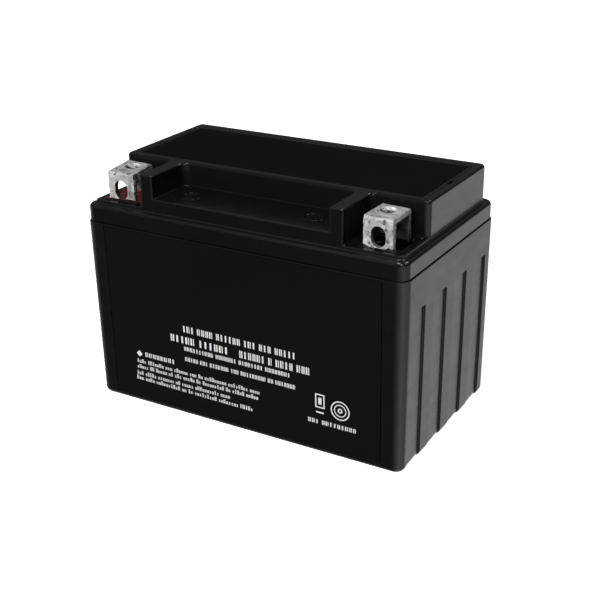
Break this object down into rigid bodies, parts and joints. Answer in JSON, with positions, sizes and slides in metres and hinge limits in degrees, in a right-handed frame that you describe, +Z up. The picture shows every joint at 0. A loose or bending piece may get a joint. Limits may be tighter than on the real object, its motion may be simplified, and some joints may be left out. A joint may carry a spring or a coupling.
{
  "type": "motorcycle battery",
  "caption": "Sealed motorcycle battery: black moulded case with stepped lid, box terminals in corner pockets, ribbed ends and relief valves under a lift-off cover.",
  "frame": {"origin": "centre of the base", "axes": "+X along the long side towards the negative terminal, +Y from the labelled front to the back, +Z up"},
  "size_m": [0.15, 0.087, 0.105],
  "materials": {
    "case_plastic": "satin moulded black",
    "lid_plastic": "satin moulded black",
    "cover_plastic": "satin moulded black",
    "label_film": "smooth black film with plain white bars",
    "terminal_metal": "dull tinned lead alloy, mottled",
    "red_potting": "glossy poured resin",
    "black_potting": "glossy poured resin",
    "lead": "cast lead",
    "ring_rubber": "smooth",
    "cap_rubber": "matt",
    "positive_paste": "cured dark brown paste",
    "negative_paste": "cured grey paste",
    "glass_mat": "glass-fibre mat"
  },
  "bodies": {
    "case": {"container": "case_plastic", "lid": "lid_plastic", "front_label": "label_film", "positive_terminal": "terminal_metal", "negative_terminal": "terminal_metal", "positive_terminal_seal": "red_potting", "negative_terminal_seal": "black_potting", "positive_post": "lead", "negative_post": "lead", "positive_post_ring": "ring_rubber", "negative_post_ring": "ring_rubber", "positive_plates_1": "positive_paste", "negative_plates_1": "negative_paste", "separators_1": "glass_mat", "positive_strap_1": "lead", "negative_strap_1": "lead", "positive_plates_2": "positive_paste", "negative_plates_2": "negative_paste", "separators_2": "glass_mat", "positive_strap_2": "lead", "negative_strap_2": "lead", "positive_plates_3": "positive_paste", "negative_plates_3": "negative_paste", "separators_3": "glass_mat", "positive_strap_3": "lead", "negative_strap_3": "lead", "positive_plates_4": "positive_paste", "negative_plates_4": "negative_paste", "separators_4": "glass_mat", "positive_strap_4": "lead", "negative_strap_4": "lead", "positive_plates_5": "positive_paste", "negative_plates_5": "negative_paste", "separators_5": "glass_mat", "positive_strap_5": "lead", "negative_strap_5": "lead", "positive_plates_6": "positive_paste", "negative_plates_6": "negative_paste", "separators_6": "glass_mat", "positive_strap_6": "lead", "negative_strap_6": "lead", "intercell_welds": "lead"},
    "vent_cover": {"vent_cover": "cover_plastic"},
    "valve_cap_1": {"valve_cap_1": "cap_rubber"},
    "valve_cap_2": {"valve_cap_2": "cap_rubber"},
    "valve_cap_3": {"valve_cap_3": "cap_rubber"},
    "valve_cap_4": {"valve_cap_4": "cap_rubber"},
    "valve_cap_5": {"valve_cap_5": "cap_rubber"},
    "valve_cap_6": {"valve_cap_6": "cap_rubber"}
  },
  "joints": [
    {"name": "cover_lift", "type": "slide", "parent": "case", "child": "vent_cover", "axis": [0, 0, 1], "range_m": [0, 0.03]},
    {"name": "valve_1_lift", "type": "slide", "parent": "case", "child": "valve_cap_1", "axis": [0, 0, 1], "range_m": [0, 0.0006]},
    {"name": "valve_2_lift", "type": "slide", "parent": "case", "child": "valve_cap_2", "axis": [0, 0, 1], "range_m": [0, 0.0006]},
    {"name": "valve_3_lift", "type": "slide", "parent": "case", "child": "valve_cap_3", "axis": [0, 0, 1], "range_m": [0, 0.0006]},
    {"name": "valve_4_lift", "type": "slide", "parent": "case", "child": "valve_cap_4", "axis": [0, 0, 1], "range_m": [0, 0.0006]},
    {"name": "valve_5_lift", "type": "slide", "parent": "case", "child": "valve_cap_5", "axis": [0, 0, 1], "range_m": [0, 0.0006]},
    {"name": "valve_6_lift", "type": "slide", "parent": "case", "child": "valve_cap_6", "axis": [0, 0, 1], "range_m": [0, 0.0006]}
  ]
}
